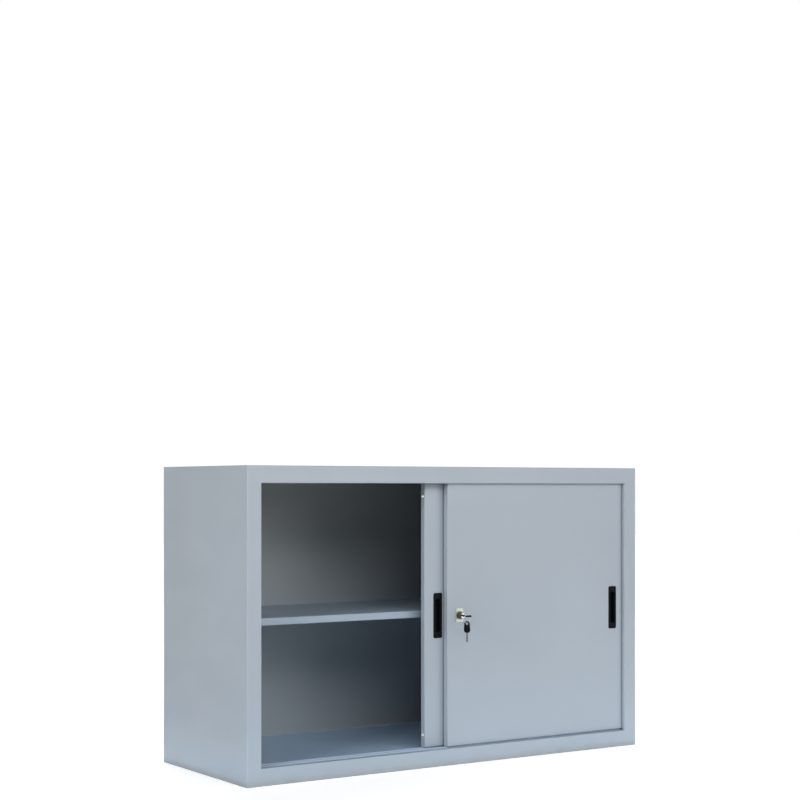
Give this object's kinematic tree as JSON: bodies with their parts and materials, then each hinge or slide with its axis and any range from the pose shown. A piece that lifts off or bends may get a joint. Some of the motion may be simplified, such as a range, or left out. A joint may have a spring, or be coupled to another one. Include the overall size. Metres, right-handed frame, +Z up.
{
  "type": "sliding door cabinet",
  "caption": "Low steel office cabinet with two by-passing sliding doors, recessed pulls, a key lock, an adjustable shelf, and floor rails with a double top track.",
  "frame": {"origin": "centre of the carcass's base, on the floor, midway between its sides, front and back", "axes": "+X to the viewer's right along the front, +Y towards the back, +Z up; the doors face -Y"},
  "size_m": [1.2, 0.4866, 0.755],
  "materials": {
    "carcass_paint": "light blue-grey powder coat, fine texture",
    "interior_paint": "light blue-grey powder coat inside",
    "door_paint": "light blue-grey powder coat, fine texture",
    "galvanised": "zinc-plated pressed steel",
    "black_plastic": "moulded, satin",
    "white_plastic": "moulded nylon",
    "nickel": "satin nickel plate",
    "chrome": "polished",
    "key_steel": "nickel-plated key"
  },
  "bodies": {
    "cabinet": {"left_side_panel": "carcass_paint", "right_side_panel": "carcass_paint", "top_panel": "carcass_paint", "bottom_panel": "carcass_paint", "back_panel": "interior_paint", "left_front_post": "interior_paint", "right_front_post": "interior_paint", "left_rear_post": "interior_paint", "right_rear_post": "interior_paint", "shelf": "interior_paint", "shelf_clips": "galvanised", "floor_rails": "carcass_paint", "top_track": "galvanised", "top_track_screws": "galvanised", "track_stops": "white_plastic"},
    "left_door": {"left_door_skin": "door_paint", "left_door_liner": "door_paint", "left_door_pull": "black_plastic", "left_door_bumpers": "white_plastic", "left_door_guides": "white_plastic", "left_door_guide_screws": "galvanised", "left_door_roller_brackets": "galvanised", "left_door_bracket_screws": "galvanised", "left_door_axles": "galvanised", "strike_stud": "galvanised"},
    "left_door_left_wheel": {"left_door_left_wheel": "white_plastic"},
    "left_door_right_wheel": {"left_door_right_wheel": "white_plastic"},
    "right_door": {"right_door_skin": "door_paint", "right_door_liner": "door_paint", "right_door_pull": "black_plastic", "right_door_bumpers": "white_plastic", "right_door_guides": "white_plastic", "right_door_guide_screws": "galvanised", "right_door_roller_brackets": "galvanised", "right_door_bracket_screws": "galvanised", "right_door_axles": "galvanised", "lock_plate": "nickel", "lock_body": "chrome", "lock_nut": "galvanised"},
    "right_door_left_wheel": {"right_door_left_wheel": "white_plastic"},
    "right_door_right_wheel": {"right_door_right_wheel": "white_plastic"},
    "lock_plug": {"lock_plug": "chrome", "lock_cam": "galvanised", "cam_screw": "galvanised", "key_head": "black_plastic", "key_blade": "key_steel"},
    "key_ring": {"key_ring": "chrome"},
    "spare_key": {"spare_key_head": "black_plastic", "spare_key_blade": "key_steel"}
  },
  "joints": [
    {"name": "left_door_slide", "type": "slide", "parent": "cabinet", "child": "left_door", "axis": [1, 0, 0], "range_m": [-0.4935, 0]},
    {"name": "left_door_left_wheel_spin", "type": "hinge", "parent": "left_door", "child": "left_door_left_wheel", "pos_m": [0.001, -0.1815, 0.0535], "axis": [0, 1, 0], "continuous": true},
    {"name": "left_door_right_wheel_spin", "type": "hinge", "parent": "left_door", "child": "left_door_right_wheel", "pos_m": [0.437, -0.1815, 0.0535], "axis": [0, 1, 0], "continuous": true},
    {"name": "right_door_slide", "type": "slide", "parent": "cabinet", "child": "right_door", "axis": [1, 0, 0], "range_m": [-0.4935, 0]},
    {"name": "right_door_left_wheel_spin", "type": "hinge", "parent": "right_door", "child": "right_door_left_wheel", "pos_m": [0.0565, -0.2035, 0.0535], "axis": [0, 1, 0], "continuous": true},
    {"name": "right_door_right_wheel_spin", "type": "hinge", "parent": "right_door", "child": "right_door_right_wheel", "pos_m": [0.4925, -0.2035, 0.0535], "axis": [0, 1, 0], "continuous": true},
    {"name": "lock_turn", "type": "hinge", "parent": "right_door", "child": "lock_plug", "pos_m": [0.018, -0.212, 0.3775], "axis": [0, -1, 0], "range_deg": [0, 90]},
    {"name": "key_ring_swing", "type": "hinge", "parent": "lock_plug", "child": "key_ring", "pos_m": [0.0129, -0.2535, 0.3769], "axis": [0, -1, 0], "range_deg": [-90, 0]},
    {"name": "spare_key_swing", "type": "hinge", "parent": "key_ring", "child": "spare_key", "pos_m": [0.0122, -0.2535, 0.3712], "axis": [0, -1, 0], "range_deg": [-35, 35]}
  ],
  "couplings": [
    {"joint": "left_door_left_wheel_spin", "follows": "left_door_slide", "rad_per_m": 121.95},
    {"joint": "left_door_right_wheel_spin", "follows": "left_door_slide", "rad_per_m": 121.95},
    {"joint": "right_door_left_wheel_spin", "follows": "right_door_slide", "rad_per_m": 121.95},
    {"joint": "right_door_right_wheel_spin", "follows": "right_door_slide", "rad_per_m": 121.95},
    {"joint": "key_ring_swing", "follows": "lock_turn", "ratio": -1}
  ]
}
